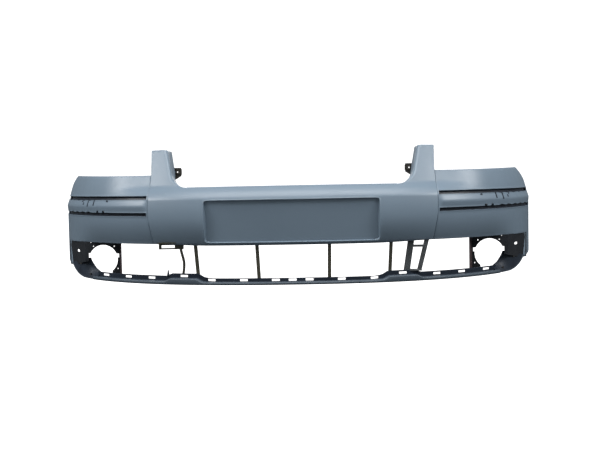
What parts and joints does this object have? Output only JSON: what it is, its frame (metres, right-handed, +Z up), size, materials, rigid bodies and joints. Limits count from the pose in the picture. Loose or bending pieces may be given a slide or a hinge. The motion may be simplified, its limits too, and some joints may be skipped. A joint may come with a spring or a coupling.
{
  "type": "bumper cover",
  "caption": "Bare front bumper cover of a saloon car in grey-blue primer, with plate recess, grille horns, trim slots, fog lamp carriers and a slotted lower rail.",
  "frame": {"origin": "centre of the bounding box at the height of the underside of the lower lip", "axes": "+X across the car, -Y forwards, +Z up"},
  "size_m": [1.7442, 0.5611, 0.425],
  "materials": {
    "primed_plastic": "satin grey-blue primer on moulded plastic",
    "black_plastic": "fine grained black plastic",
    "dark_channel": "dark blue-black moulded plastic",
    "zinc_steel": "zinc plated steel",
    "spring_steel": "bronze passivated spring steel"
  },
  "bodies": {
    "root": {"upper_cover": "primed_plastic", "lower_valance": "primed_plastic", "valance_pins": "black_plastic", "grille_ledge": "primed_plastic", "tow_eye_frame": "black_plastic", "grille_clip_frame": "black_plastic", "valance_strap": "black_plastic", "intake_strut_1": "black_plastic", "intake_strut_2": "black_plastic", "intake_strut_3": "black_plastic", "intake_strut_4": "black_plastic", "fog_lamp_carrier_left": "black_plastic", "fog_lamp_nuts_left": "zinc_steel", "horn_bracket_left": "black_plastic", "horn_clip_nut_left": "spring_steel", "trim_channel_upper_left": "dark_channel", "trim_channel_lower_left": "dark_channel", "trim_clips_left": "dark_channel", "headlamp_ledge_left": "primed_plastic", "wheel_arch_flange_left": "primed_plastic", "wheel_arch_nuts_left": "zinc_steel", "fender_guide_left": "black_plastic", "fog_lamp_carrier_right": "black_plastic", "fog_lamp_nuts_right": "zinc_steel", "horn_bracket_right": "black_plastic", "horn_clip_nut_right": "spring_steel", "trim_channel_upper_right": "dark_channel", "trim_channel_lower_right": "dark_channel", "trim_clips_right": "dark_channel", "headlamp_ledge_right": "primed_plastic", "wheel_arch_flange_right": "primed_plastic", "wheel_arch_nuts_right": "zinc_steel", "fender_guide_right": "black_plastic"}
  },
  "joints": []
}
